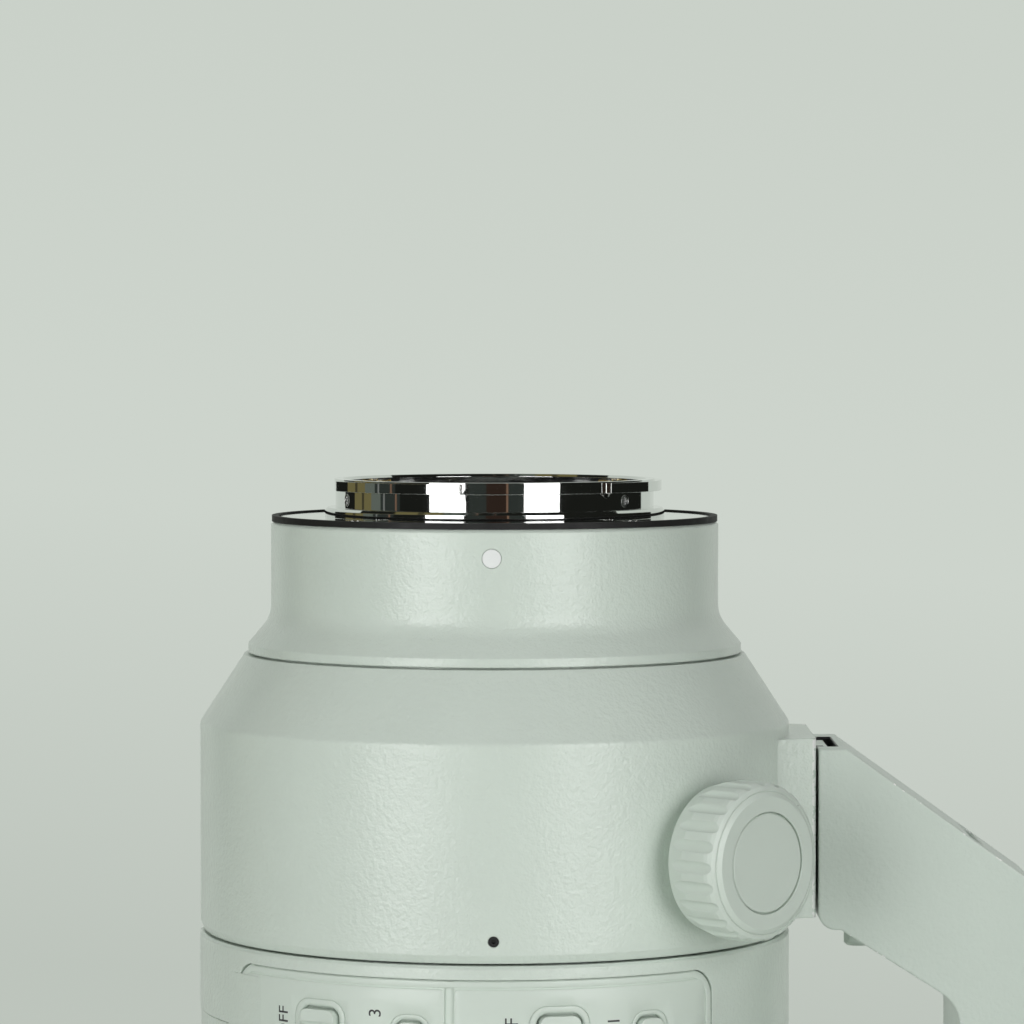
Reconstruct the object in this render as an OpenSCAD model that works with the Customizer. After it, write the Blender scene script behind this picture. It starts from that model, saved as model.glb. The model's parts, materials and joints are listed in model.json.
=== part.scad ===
// Telephoto zoom lens, standing on its front rim.
// The optical axis is Z: the front rim lies at z = 0 and the camera mount is at the top.
// The tripod foot points to +X, and the switch panel faces -Y.

/* [Lengths along the axis] */
// Front rim to camera flange
lens_len = 204.7; // [203.7:0.1:206.7]
// Head with the filter thread and the hood seat
head_len = 12; // [11:0.5:13]
// Depth of the filter thread
filter_len = 6; // [5:0.5:6.5]
// Fixed bezel behind the head
bezel_len = 2.4; // [1.8:0.1:3]
// Zoom torque ring
torque_len = 7; // [6:0.5:8]
// Zoom ring
zoom_len = 43.5; // [42:0.5:45]
// Fixed band with the hold buttons
band_len = 15.5; // [14:0.5:17]
// Focus ring
focus_len = 17.5; // [16:0.5:19]
// Tripod collar
collar_len = 41.4; // [40.4:0.2:42.4]
// Rear barrel, from the collar to the gasket
rear_len = 20; // [19:0.5:21]
// Height of the flange face above the gasket seat
mount_rise = 0.7; // [0.5:0.1:1]
// Gap between neighbouring rings
seam = 0.3; // [0.25:0.05:0.4]

/* [Radii] */
// Filter thread
filter_r = 38.5; // [37.5:0.5:38.5]
// Outside of the front head, where a hood fits
head_r = 43.2; // [42.2:0.2:44]
// Fixed bezel
bezel_r = 45.4; // [45:0.1:46]
// Zoom torque ring
torque_r = 46; // [45.4:0.1:46.6]
// Zoom grip
zoom_r = 46.9; // [46.5:0.1:47.5]
// Fixed band
band_r = 45.8; // [45.4:0.1:46.2]
// Focus grip
focus_r = 46.4; // [46:0.1:47]
// Switch barrel
body_r = 44.65; // [44.5:0.05:45]
// Tripod collar
collar_r = 44.55; // [44.3:0.05:45]
// Narrow end of the collar's cone
cone_top_r = 37.9; // [37.7:0.1:38.5]
// Rear barrel
rear_r = 33.85; // [33.7:0.05:34.2]
// Lip of the rear barrel over the collar
lip_r = 37.3; // [36.9:0.1:37.7]
// Extending tube
tube_r = 39; // [38.9:0.05:39.1]

/* [Walls and clearances] */
// Wall of the extending tube
tube_wall = 1.5; // [1.3:0.1:1.6]
// Wall of the cam tube
cam_wall = 1.2; // [1:0.1:1.3]
// Wall of the fixed barrel
fixed_wall = 1.5; // [1.4:0.1:1.6]
// Rubber thickness of the grips
grip_t = 2.2; // [2:0.1:2.3]
// Radial gap between sliding tubes
slide_gap = 0.4; // [0.35:0.05:0.45]
// Radial gap under the turning rings
ring_gap = 0.35; // [0.3:0.05:0.4]
// Assembly clearance between pieces that are fixed together
seat = 0.05; // [0.03:0.01:0.08]
// Clearance around switches, buttons and followers
play = 0.4; // [0.3:0.05:0.5]

/* [Zoom] */
// Turn of the zoom ring
zoom_angle = 85; // [75:1:95]
// Travel of the front group
front_travel = 60; // [50:1:60]
// Travel of the variator
variator_travel = 16; // [12:0.5:16]
// Radius of the cam followers
follower_r = 2; // [1.8:0.1:2.2]

/* [Camera mount] */
// Outside of the flange plate
flange_r = 32.7; // [32.2:0.1:32.8]
// Thickness of the flange plate
flange_t = 2.2; // [2:0.1:2.6]
// Locating spigot on the flange
spigot_r = 25.7; // [25.6:0.05:26]
// Length of the locating spigot
spigot_len = 1.4; // [1.2:0.1:1.6]
// Neck behind the bayonet lugs
neck_r = 24.1; // [23.9:0.05:24.3]
// Length of the neck
neck_len = 2.6; // [2.4:0.1:3]
// Bayonet lugs
lug_r = 25.3; // [25.1:0.05:25.5]
// Thickness of the lugs
lug_len = 1.7; // [1.5:0.1:2]
// Angle that each lug covers
lug_angle = 58; // [50:1:65]
// Inside of the mount
mount_bore_r = 22.6; // [22.5:0.05:22.8]

/* [Tripod collar and foot] */
// Height of the collar's cone
cone_len = 10.2; // [9.2:0.2:10.8]
// Direction of the lock knob around the axis
knob_angle = -46; // [-50:1:-40]
// Radius of the lock knob
knob_r = 11.5; // [11:0.1:12.5]
// Height of the lock knob
knob_h = 9.4; // [8.4:0.1:10.4]
// Pitch of the lock screw
lock_pitch = 0.7; // [0.5:0.1:0.8]
// Width of the foot
foot_w = 26; // [25:0.5:30]
// Optical axis to the foot's base
foot_drop = 82; // [80:0.5:88]
// Thickness of the foot's base plate
plate_t = 12.5; // [11.5:0.5:14]
// Radius of the tripod thread
tripod_r = 3.175; // [2.5:0.005:4.7625]

/* [Switches and buttons] */
// Angle from the foot to the middle of the switch panel
panel_mid = -96; // [-97.5:0.5:-94.5]
// Angle that the switch panel covers
panel_angle = 102; // [101:0.5:105]
// Length of the switch panel
panel_len = 36; // [32:0.5:37]
// Depth of the panel below the barrel
panel_recess = 0.35; // [0.2:0.05:0.5]
// Thickness of the panel
panel_t = 0.8; // [0.6:0.05:0.9]
// Radius of the hold buttons
button_r = 3.9; // [3:0.1:4.5]
// Travel of the hold buttons
button_travel = 0.7; // [0.5:0.1:0.8]

/* [Hidden] */
$fn = 96;
lens_facets = 300;

// Colours as the pieces look
paint = [0.78, 0.82, 0.78];
black = [0.06, 0.06, 0.06];
rubber = [0.09, 0.09, 0.09];
chrome = [0.85, 0.85, 0.86];
steel = [0.6, 0.6, 0.62];
brass = [0.8, 0.65, 0.3];
glass = [0.7, 0.8, 0.85, 0.5];
board = [0.1, 0.35, 0.2];
alloy = [0.3, 0.3, 0.32];

// Stations along the axis
bezel_z = head_len + seam;
bezel_top = bezel_z + bezel_len;
torque_z = bezel_top + seam;
zoom_z = torque_z + torque_len + seam;
band_z = zoom_z + zoom_len + seam;
focus_z = band_z + band_len + seam;
switch_z = focus_z + focus_len + seam;
rear_top = lens_len - mount_rise;
collar_top = rear_top - rear_len;
collar_z = collar_top - collar_len;
switch_top = collar_z - seam;

// Nested tubes
cam_in = tube_r + slide_gap;
cam_r = cam_in + cam_wall;
fixed_in = cam_r + slide_gap;
fixed_r = fixed_in + fixed_wall;
ring_in = fixed_r + ring_gap;
sleeve_in = fixed_r + seat;
collar_bore = fixed_in + ring_gap;
rear_tube_r = fixed_in;
rear_tube_wall = 2;
rear_tube_in = rear_tube_r - rear_tube_wall;

// Front group
tube_in = tube_r - tube_wall;
tube_margin = 1.7;
tube_end = switch_z - tube_margin;
follower_inset = 5;
follower_z = tube_end - follower_inset;
follower_angles = [90, -30, -150];
follower_pin_r = 1.5;
follower_head_r = fixed_r - slide_gap;

// Variator, its slots and the shoulder behind the cam tube
variator_gap = 6;
variator_len = 12;
variator_z = tube_end + variator_gap;
variator_follow = variator_z + variator_len / 2;
cam_end_wall = 3.6;
slot_w = 2 * (follower_r + play);
cam_top = variator_follow + variator_travel + slot_w / 2 + cam_end_wall;
shoulder_z = cam_top + seam;
variator_r = rear_tube_in - slide_gap;
variator_lens_r = 29;

// Rear web of the fixed barrel and the spigot of the rear barrel
web_t = 3;
web_drop = 13;
web_top = collar_top - web_drop;
web_z = web_top - web_t;
web_in = 30;
lip_overlap = 0.8;
cone_in = lip_r - lip_overlap;
rear_spigot_r = cone_in - slide_gap;
rear_in = 32;
rear_floor_t = 3;
rear_web_t = 4;
rear_web_in = 25;

// Index marks on the camera side
index_angle = -90;
index_dot_angle = -90.5;
index_dot_r = 1.36;
index_dot_t = 1;
index_dot_drop = 4.2;
index_dot_z = rear_top - index_dot_drop;
index_screw_r = 0.75;
index_screw_rise = 3.2;
index_screw_z = collar_z + index_screw_rise;

// Mount stations
flange_z = lens_len - flange_t;
spigot_top = lens_len + spigot_len;
neck_top = spigot_top + neck_len;
lug_top = neck_top + lug_len;
lug_starts = [-159.5, -47, 76];
lug_rim = 0.15;
neck_screw_angles = [-156, -36.5, 82];
mount_screw_count = 4;
mount_screw_ring_r = 28.9;

// Grooves on the grips
zoom_grooves = 72;
focus_grooves = 72;
groove_w = 1.5;
groove_depth = 0.9;
grip_edge = 1.5;

// Foot geometry in the X-Z plane
stub_reach = 3.4;
foot_gap = 0.4;
stub_rise = 2.6;
stub_drop = 12;
stub_x = collar_r + stub_reach;
foot_x = stub_x + foot_gap;
stub_bottom = collar_z + stub_rise;
stub_top = collar_top - stub_drop;
stub_half_w = 12.5;
stub_root_half = 14.9;
rail_gap = 0.3;
rail_neck_half = 6;
rail_head_half = 8;
rail_neck_t = 1.3;
rail_head_t = 1.5;
rail_inset = 2.8;
rail_drop = 6.5;
foot_rise = 0.8;
foot_fall = 13.6;
rail_neck_x = foot_x + rail_neck_t;
rail_head_x = rail_neck_x + rail_head_t;
rail_z0 = stub_bottom + rail_inset;
rail_z1 = stub_top - rail_drop;
foot_bottom = collar_z + foot_rise;
foot_top = collar_top - foot_fall;
foot_slope = 35.5;
arm_slope = 32.2;
block_flat = 4.1;
block_bottom_flat = 3.3;
plate_x = foot_drop - plate_t;
plate_reach = 58.6;
plate_bottom = collar_z - plate_reach;
foot_corner_r = 2.5;
plate_corner_r = 3;
arm_fillet_r = 6;
release_inset = 6.8;
release_x = foot_x + release_inset;
release_r = 2.1;
release_travel = 1.2;
slot_floor = 1;
slot_bottom = rail_z0 - slot_floor;
release_wall = 0.8;
release_room = slot_bottom - release_wall;

// Knob geometry along its radial axis
knob_rise = 14;
knob_gap = 2.45;
knob_z = collar_z + knob_rise;
knob_base = collar_r + knob_gap;
knob_face = knob_base + knob_h;
shoe_w = 10;
shoe_h = 14;
shoe_t = 1;
shoe_r = rear_tube_r + slide_gap;
lock_screw_r = 2.5;
cap_r = 7.35;
cap_depth = 0.7;

// Panel geometry
panel_top_gap = 2.1;
panel_top = switch_top - panel_top_gap;
panel_out = body_r - panel_recess;
panel_in = panel_out - panel_t;
panel_corner_r = 4;
panel_gap = 0.12;
top_plate_drop = 11.6;
plate_top_z = switch_top - top_plate_drop;
top_plate_len = 13.6;
top_plate_half = 30;
top_plate_t = 1;
top_plate_recess = 0.12;
top_plate_angle = 180;
top_plate_r = body_r - top_plate_recess;
top_plate_corner_r = 1.5;

// Switches: window width and length, drop below the panel's top, slider length, turn from the panel's middle
wide_window = 6.8;
wide_len = 11;
wide_drop = 4.7;
wide_slider = 6.8;
narrow_window = 4.6;
narrow_len = 10;
narrow_drop = 5.7;
narrow_slider = 5.4;
window_corner_r = 1.6;
slider_rise = 0.5;
slider_flange = 0.8;
slider_flange_t = 0.35;
focus_mode_turn = -28.4;
focus_limit_turn = -9.6;
stabiliser_turn = 18.3;
stabiliser_mode_turn = 36.3;
focus_mode_angle = panel_mid + focus_mode_turn;
focus_limit_angle = panel_mid + focus_limit_turn;
stabiliser_angle = panel_mid + stabiliser_turn;
stabiliser_mode_angle = panel_mid + stabiliser_mode_turn;

// Small overlap that keeps cutters clear of coincident faces
eps = 0.5;

// Plain ring between two radii and two heights
module ring(ro, ri, z0, z1) {
    rotate_extrude()
        translate([ri, z0])
            square([ro - ri, z1 - z0]);
}

// Part of a ring between two angles
module sector(ro, ri, z0, z1, a0, a1) {
    rotate([0, 0, a0])
        rotate_extrude(angle = a1 - a0)
            translate([ri, z0])
                square([ro - ri, z1 - z0]);
}

// Stands a child, drawn along +Z, on the radial line at angle a and height z, starting at radius r
module radial(a, z, r = 0) {
    rotate([0, 0, a])
        translate([r, 0, z])
            rotate([0, 90, 0])
                children();
}

// Slot outline along X with round ends
module slot_2d(len, w) {
    square([len, w], center = true);
    for (side = [-1, 1])
        translate([side * len / 2, 0])
            circle(d = w);
}

// Rectangle with round corners
module round_rect(l, w, r) {
    square([l - 2 * r, w], center = true);
    square([l, w - 2 * r], center = true);
    for (sx = [-1, 1], sy = [-1, 1])
        translate([sx * (l / 2 - r), sy * (w / 2 - r)])
            circle(r = r);
}

// Screw along +Z with its head's top at z = 0 and a cross recess
module cross_screw(head_r, head_t, shank_r, shank_len) {
    recess_w = head_r / 2.5;
    recess_d = head_t / 2;
    difference() {
        union() {
            translate([0, 0, -head_t]) cylinder(r = head_r, h = head_t);
            translate([0, 0, -head_t - shank_len]) cylinder(r = shank_r, h = shank_len + head_t / 2);
        }
        for (turn = [0, 90])
            rotate([0, 0, turn])
                translate([-head_r * 0.7, -recess_w / 2, -recess_d])
                    cube([head_r * 1.4, recess_w, head_t]);
    }
}

// Fine sphere on the axis, for a lens surface
module ball(z, r) {
    translate([0, 0, z]) sphere(r = r, $fn = lens_facets);
}

// Lens element between z0 and z1: positive radii bulge outwards, negative ones are hollow
module lens_element(r, z0, z1, front_radius, back_radius) {
    front_dip = sqrt(front_radius * front_radius - r * r);
    back_dip = sqrt(back_radius * back_radius - r * r);
    difference() {
        intersection() {
            translate([0, 0, z0]) cylinder(r = r, h = z1 - z0);
            if (front_radius > 0) ball(z0 + front_radius, front_radius);
            if (back_radius > 0) ball(z1 - back_radius, back_radius);
        }
        if (front_radius < 0) ball(z0 - front_dip, -front_radius);
        if (back_radius < 0) ball(z1 + back_dip, -back_radius);
    }
}

// Rubber or metal ring with axial grooves
module grooved_ring(ro, ri, z0, z1, count, w, depth, margin) {
    difference() {
        ring(ro, ri, z0, z1);
        for (i = [0 : count - 1])
            rotate([0, 0, i * 360 / count])
                translate([ro - depth, -w / 2, z0 + margin])
                    cube([depth + eps, w, z1 - z0 - 2 * margin]);
    }
}

// Cutter for a cam slot that falls from angle a0 by the zoom angle while its height goes from z0 to z1
module cam_slot(a0, z0, z1) {
    pieces = 6;
    mid_r = (cam_in + cam_r) / 2;
    run = mid_r * zoom_angle * PI / 180;
    rise = z1 - z0;
    tilt = atan2(-run, -rise);
    step = sqrt(run * run + rise * rise) / pieces;
    depth = cam_wall + 2 * slide_gap;
    for (i = [0 : pieces - 1])
        radial(a0 - zoom_angle * (i + 0.5) / pieces, z0 + rise * (i + 0.5) / pieces, cam_in - slide_gap)
            rotate([0, 0, tilt])
                translate([-step / 2 - follower_r / 4, -slot_w / 2, 0])
                    cube([step + follower_r / 2, slot_w, depth]);
    for (end = [0, 1])
        radial(a0 - zoom_angle * end, z0 + rise * end, cam_in - slide_gap)
            cylinder(d = slot_w, h = depth);
}

// Cutter for the straight guide slots of the fixed barrel, for follower heights z0 to z1
module guide_slots(z0, z1) {
    for (a = follower_angles)
        radial(a, (z0 + z1) / 2, fixed_in - slide_gap / 2)
            linear_extrude(height = fixed_wall + slide_gap)
                slot_2d(abs(z1 - z0), slot_w);
}

// Roller with its pin, on the radial line of each follower angle
module followers(z, pin_start, roller_start) {
    for (a = follower_angles) {
        radial(a, z, pin_start)
            cylinder(r = follower_pin_r, h = roller_start - pin_start + seat);
        radial(a, z, roller_start)
            cylinder(r = follower_r, h = follower_head_r - roller_start);
    }
}

// Curved plate with round corners, grown by a gap on every side
module curved_plate(ro, ri, z0, z1, mid, half, corner, gap) {
    bulge = 0.06;
    r = corner + gap;
    low = z0 - gap;
    high = z1 + gap;
    reach = half + gap / ro * 180 / PI;
    turn = reach - (r - bulge) / ro * 180 / PI;
    difference() {
        sector(ro, ri, low, high, mid - reach, mid + reach);
        for (side = [-1, 1], top = [0, 1])
            radial(mid + side * turn, top ? high - r + bulge : low + r - bulge, ri - eps)
                linear_extrude(height = ro - ri + 2 * eps)
                    difference() {
                        translate([top ? -r - eps : 0, side > 0 ? 0 : -r - eps])
                            square(r + eps);
                        circle(r = r);
                    }
    }
}

// Chrome bayonet: flange plate, locating spigot, neck and lugs
module mount_bayonet() {
    edge = 0.4;
    flange_edge = 0.12;
    screw_head_r = 1.55;
    screw_hole_r = 0.9;
    screw_head_t = 0.8;
    neck_screw_r = 0.9;
    color(chrome)
        difference() {
            union() {
                rotate_extrude()
                    polygon([
                        [mount_bore_r, flange_z], [flange_r, flange_z], [flange_r, lens_len - flange_edge],
                        [flange_r - flange_edge, lens_len], [spigot_r, lens_len], [spigot_r, spigot_top - edge],
                        [spigot_r - edge, spigot_top], [neck_r, spigot_top], [neck_r, neck_top],
                        [neck_r + lug_rim, neck_top], [neck_r + lug_rim, lug_top],
                        [mount_bore_r + edge, lug_top], [mount_bore_r, lug_top - edge]
                    ]);
                for (start = lug_starts)
                    rotate([0, 0, start])
                        rotate_extrude(angle = lug_angle)
                            translate([neck_r - edge, neck_top])
                                square([lug_r - neck_r + edge, lug_len - edge / 2]);
            }
            for (i = [0 : mount_screw_count - 1])
                rotate([0, 0, (i + 0.5) * 360 / mount_screw_count])
                    translate([mount_screw_ring_r, 0, flange_z - eps]) {
                        cylinder(r = screw_hole_r, h = flange_t + 2 * eps);
                        translate([0, 0, flange_t - screw_head_t + eps])
                            cylinder(r = screw_head_r, h = screw_head_t + eps);
                    }
            for (a = neck_screw_angles)
                radial(a, spigot_top + neck_len / 2, mount_bore_r - eps)
                    cylinder(r = neck_screw_r, h = neck_r - mount_bore_r + 2 * eps);
        }
}

// Rubber gasket around the flange plate
module mount_gasket() {
    gasket_h = 0.9;
    gasket_inset = 0.15;
    color(rubber)
        ring(rear_r - gasket_inset, flange_r + seat, rear_top, rear_top + gasket_h);
}

// Countersunk screws that hold the bayonet on the rear barrel
module mount_screws() {
    head_r = 1.5;
    head_t = 0.75;
    shank_r = 0.8;
    shank_len = 4.2;
    color(steel)
        for (i = [0 : mount_screw_count - 1])
            rotate([0, 0, (i + 0.5) * 360 / mount_screw_count])
                translate([mount_screw_ring_r, 0, lens_len - seat])
                    cross_screw(head_r, head_t, shank_r, shank_len);
}

// Small radial screws in the neck that hold the rear baffle
module neck_screws() {
    head_r = 0.85;
    head_t = 0.6;
    shank_r = 0.5;
    shank_len = 2;
    color(steel)
        for (a = neck_screw_angles)
            radial(a, spigot_top + neck_len / 2, neck_r - seat)
                cross_screw(head_r, head_t, shank_r, shank_len);
}

// Sizes shared by the rear baffle and the contact block
baffle_r = mount_bore_r - seat;
baffle_wall = 2;
baffle_drop = 6.7;
baffle_inset = 0.5;
baffle_z = lens_len - baffle_drop;
baffle_top = neck_top - baffle_inset;
baffle_plate_t = 1.2;
contact_mid = 90;
contact_half = 38;
contact_out = baffle_r - baffle_wall - seat;
contact_t = 1.9;
contact_rise = 0.1;
contact_play = 1;

// Black light baffle inside the mount
module rear_baffle() {
    opening_l = 32;
    opening_w = 22;
    screw_r = 0.55;
    color(black)
        difference() {
            union() {
                ring(baffle_r, baffle_r - baffle_wall, baffle_z, baffle_top);
                translate([0, 0, baffle_top - baffle_plate_t])
                    cylinder(r = baffle_r - seat, h = baffle_plate_t - seat);
            }
            translate([-opening_l / 2, -opening_w / 2, baffle_z])
                cube([opening_l, opening_w, baffle_top - baffle_z + eps]);
            sector(contact_out + 2 * seat, contact_out - contact_t - seat, baffle_z - eps, baffle_top + eps,
                contact_mid - contact_half - contact_play, contact_mid + contact_half + contact_play);
            for (a = neck_screw_angles)
                radial(a, spigot_top + neck_len / 2, baffle_r - baffle_wall - eps)
                    cylinder(r = screw_r, h = baffle_wall + 2 * eps);
        }
}

// Insulating block that carries the electrical contacts
module contact_block() {
    color(black)
        sector(contact_out, contact_out - contact_t, baffle_z, baffle_top + contact_rise,
            contact_mid - contact_half, contact_mid + contact_half);
}

// Gold contact pins on the block
module contact_pins() {
    pin_count = 10;
    pin_r = 0.6;
    pin_h = 0.5;
    pin_margin = 4;
    pin_step = 2 * (contact_half - pin_margin) / (pin_count - 1);
    color(brass)
        for (i = [0 : pin_count - 1])
            rotate([0, 0, contact_mid - contact_half + pin_margin + i * pin_step])
                translate([contact_out - contact_t / 2, 0, baffle_top + contact_rise])
                    cylinder(r = pin_r, h = pin_h);
}

// Sizes shared by the rear cell and the board
rear_cell_z = web_top + rear_floor_t;
rear_cell_flange_t = 2;
rear_cell_r = 20;
rear_cell_wall = 1.8;
board_t = 1.6;

// Painted rear barrel with its concave flare, its lip and the spigot inside the collar
module rear_barrel() {
    edge = 0.5;
    flare_r = 5;
    flare_end = 40;
    flare_rise = 7.5;
    flare_z = collar_top + flare_rise;
    flare_steps = 10;
    slope = tan(90 - flare_end);
    arc_r = rear_r + flare_r * (1 - cos(flare_end));
    arc_z = flare_z - flare_r * sin(flare_end);
    screw_r = 0.85;
    color(paint)
        difference() {
            rotate_extrude()
                polygon(concat(
                    [
                        [web_in + eps, web_top], [rear_spigot_r, web_top],
                        [rear_spigot_r, collar_top + seam],
                        [lip_r, collar_top + seam], [lip_r, arc_z - (lip_r - arc_r) * slope]
                    ],
                    [
                        for (i = [flare_steps : -1 : 0])
                            let (a = flare_end * i / flare_steps)
                            [rear_r + flare_r * (1 - cos(a)), flare_z - flare_r * sin(a)]
                    ],
                    [
                        [rear_r, rear_top - edge], [rear_r - edge, rear_top], [flange_r + seat, rear_top],
                        [flange_r + seat, flange_z], [rear_web_in, flange_z],
                        [rear_web_in, flange_z - rear_web_t],
                        [rear_in, flange_z - rear_web_t], [rear_in, rear_cell_z], [web_in + eps, rear_cell_z]
                    ]
                ));
            radial(index_dot_angle, index_dot_z, rear_r - index_dot_t)
                cylinder(r = index_dot_r + seat, h = index_dot_t + eps);
            for (i = [0 : mount_screw_count - 1])
                rotate([0, 0, (i + 0.5) * 360 / mount_screw_count])
                    translate([mount_screw_ring_r, 0, flange_z - rear_web_t - eps])
                        cylinder(r = screw_r, h = rear_web_t + 2 * eps);
            barrel_screw_holes();
        }
}

// Index dot for lining up the mount, set into the rear barrel
module mount_index_dot() {
    color([0.95, 0.95, 0.94])
        radial(index_dot_angle, index_dot_z, rear_r - index_dot_t) cylinder(r = index_dot_r, h = index_dot_t);
}

// Circuit board ring behind the rear cell's flange
module main_pcb() {
    board_in = rear_cell_r + slide_gap;
    color(board)
        ring(rear_in - slide_gap, board_in, rear_cell_z + rear_cell_flange_t,
            rear_cell_z + rear_cell_flange_t + board_t);
}

// Cell of the rear lens, seated on the rear barrel's floor
module rear_cell() {
    cell_drop = 2.5;
    cell_top = flange_z - rear_web_t - cell_drop;
    color(black)
        rotate_extrude()
            polygon([
                [rear_cell_r - rear_cell_wall, rear_cell_z], [rear_in - slide_gap / 2, rear_cell_z],
                [rear_in - slide_gap / 2, rear_cell_z + rear_cell_flange_t],
                [rear_cell_r, rear_cell_z + rear_cell_flange_t], [rear_cell_r, cell_top],
                [rear_cell_r - rear_cell_wall, cell_top]
            ]);
}

// Rear lens element
module rear_lens() {
    lens_r = rear_cell_r - rear_cell_wall - seat;
    lens_drop = 4;
    lens_t = 7;
    lens_top = flange_z - rear_web_t - lens_drop;
    front_curve = 46;
    back_curve = -60;
    color(glass)
        lens_element(lens_r, lens_top - lens_t, lens_top, front_curve, back_curve);
}

// Screws that join the rear barrel to the web of the fixed barrel
barrel_screw_count = 3;
barrel_screw_ring_r = 33.6;
barrel_screw_r = 1;
barrel_screw_len = 7.5;

module barrel_screw_holes() {
    for (i = [0 : barrel_screw_count - 1])
        rotate([0, 0, i * 360 / barrel_screw_count])
            translate([barrel_screw_ring_r, 0, web_z - eps])
                cylinder(r = barrel_screw_r + seat, h = barrel_screw_len + 2 * eps);
}

module barrel_screws() {
    head_r = 1.8;
    head_t = 1.2;
    color(steel)
        for (i = [0 : barrel_screw_count - 1])
            rotate([0, 0, i * 360 / barrel_screw_count])
                translate([barrel_screw_ring_r, 0, web_z - head_t])
                    mirror([0, 0, 1])
                        cross_screw(head_r, head_t, barrel_screw_r, barrel_screw_len);
}

// Sizes shared by the drive key, its slot and its seats
key_w = 8;
key_h = 4;
key_rise = 4;
key_inset = 0.1;
key_cover = 1.15;
key_z = zoom_z + key_rise;
key_in = cam_in + key_inset;
key_out = zoom_r - grip_t - key_cover;

// Fixed barrel: guide tube for the zoom, tube under the collar, and the rear web
module fixed_barrel() {
    slot_h = key_h + 2 * play;
    key_half = (key_w / 2 + play) / fixed_in * 180 / PI;
    color(alloy)
        difference() {
            rotate_extrude()
                polygon([
                    [fixed_in, bezel_top], [fixed_r, bezel_top], [fixed_r, switch_top],
                    [rear_tube_r, switch_top], [rear_tube_r, web_top], [web_in, web_top], [web_in, web_z],
                    [rear_tube_in, web_z], [rear_tube_in, shoulder_z], [fixed_in, shoulder_z]
                ]);
            guide_slots(follower_z - front_travel, follower_z);
            guide_slots(variator_follow, variator_follow + variator_travel);
            sector(fixed_r + eps, fixed_in - eps, key_z - slot_h / 2, key_z + slot_h / 2,
                -key_half, zoom_angle + key_half);
            barrel_screw_holes();
        }
}

// Chassis tube inside the fixed barrel that carries the iris and the stabiliser
chassis_gap = 1;
chassis_z = shoulder_z + chassis_gap;
chassis_wall = 2.4;
chassis_r = rear_tube_in - 2 * seat;
chassis_in = chassis_r - chassis_wall;
iris_t = 6;
stage_z = chassis_z + iris_t + seam;
stage_t = 8;

module rear_chassis() {
    color(alloy) ring(chassis_r, chassis_in, chassis_z, web_z);
}

// Closed iris housing, with its blades wide open inside the ring
module iris_housing() {
    iris_in = 17;
    iris_lip = 1.2;
    iris_r = chassis_in - seat;
    color(black)
        rotate_extrude()
            polygon([
                [iris_in, chassis_z + iris_lip], [iris_in + iris_lip, chassis_z], [iris_r, chassis_z],
                [iris_r, chassis_z + iris_t], [iris_in + iris_lip, chassis_z + iris_t],
                [iris_in, chassis_z + iris_t - iris_lip]
            ]);
}

// Stabiliser: a fixed frame, a stage that shifts along X in it and the lens that shifts along Y in the stage
stabiliser_travel = 1;
stabiliser_lens_r = 15;
stage_rim = 4;
stage_window = 2 * (stabiliser_lens_r + stage_rim);
stage_wall = 4;
stage_h = 4.5;
stage_lift = 1.5;
stage_low = stage_z + stage_lift;
frame_floor = 1.5;
stage_outer = stage_window + 2 * stage_wall;
stage_guide = 0.3;

module stabiliser_frame() {
    frame_r = chassis_in - seat;
    window_x = stage_outer + 2 * (stabiliser_travel + stage_guide);
    window_y = stage_outer + 2 * stage_guide;
    bore_rim = 0.5;
    bore_r = stabiliser_lens_r - bore_rim;
    color(black)
        difference() {
            translate([0, 0, stage_z]) cylinder(r = frame_r, h = stage_t);
            translate([-window_x / 2, -window_y / 2, stage_z - eps])
                cube([window_x, window_y, stage_t - frame_floor + eps]);
            translate([0, 0, stage_z - eps]) cylinder(r = bore_r, h = stage_t + 2 * eps);
            focus_rod_places() cylinder(r = focus_rod_r + seat, h = 2 * frame_floor, center = true);
        }
}

module stabiliser_stage() {
    window_y = stage_window + 2 * stabiliser_travel + 2 * stage_guide;
    window_x = stage_window + 2 * stage_guide;
    color(steel)
        difference() {
            translate([-stage_outer / 2, -stage_outer / 2, stage_low])
                cube([stage_outer, stage_outer, stage_h]);
            translate([-window_x / 2, -window_y / 2, stage_low - eps])
                cube([window_x, window_y, stage_h + 2 * eps]);
        }
}

module stabiliser_lens() {
    curve = 70;
    color(glass)
        union() {
            difference() {
                translate([-stage_window / 2, -stage_window / 2, stage_low])
                    cube([stage_window, stage_window, stage_h]);
                translate([0, 0, stage_low - eps]) cylinder(r = stabiliser_lens_r, h = stage_h + 2 * eps);
            }
            lens_element(stabiliser_lens_r + seat, stage_low, stage_low + stage_h, curve, curve);
        }
}

// Two rods that carry the focus cell, from the stabiliser frame to the rear cell
focus_rod_r = 1.5;
focus_rod_x = 22.5;
focus_rod_z = stage_z + stage_t - frame_floor;

module focus_rod_places() {
    for (side = [-1, 1])
        translate([side * focus_rod_x, 0, stage_z + stage_t])
            children();
}

module focus_rods() {
    color(steel)
        for (side = [-1, 1])
            translate([side * focus_rod_x, 0, focus_rod_z])
                cylinder(r = focus_rod_r, h = rear_cell_z - focus_rod_z);
}

// Linear motor of the focus group, on the stabiliser frame
module focus_motor() {
    motor_l = 12;
    motor_w = 6;
    motor_space = 6;
    motor_h = rear_cell_z - stage_z - stage_t - motor_space;
    motor_y = 23;
    color(black)
        translate([-motor_l / 2, motor_y, stage_z + stage_t])
            cube([motor_l, motor_w, motor_h]);
}

// Focus cell, which slides on the rods
focus_cell_h = 6;
focus_cell_z = (stage_z + stage_t + rear_cell_z - focus_cell_h) / 2;
focus_lens_r = 16;

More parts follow.
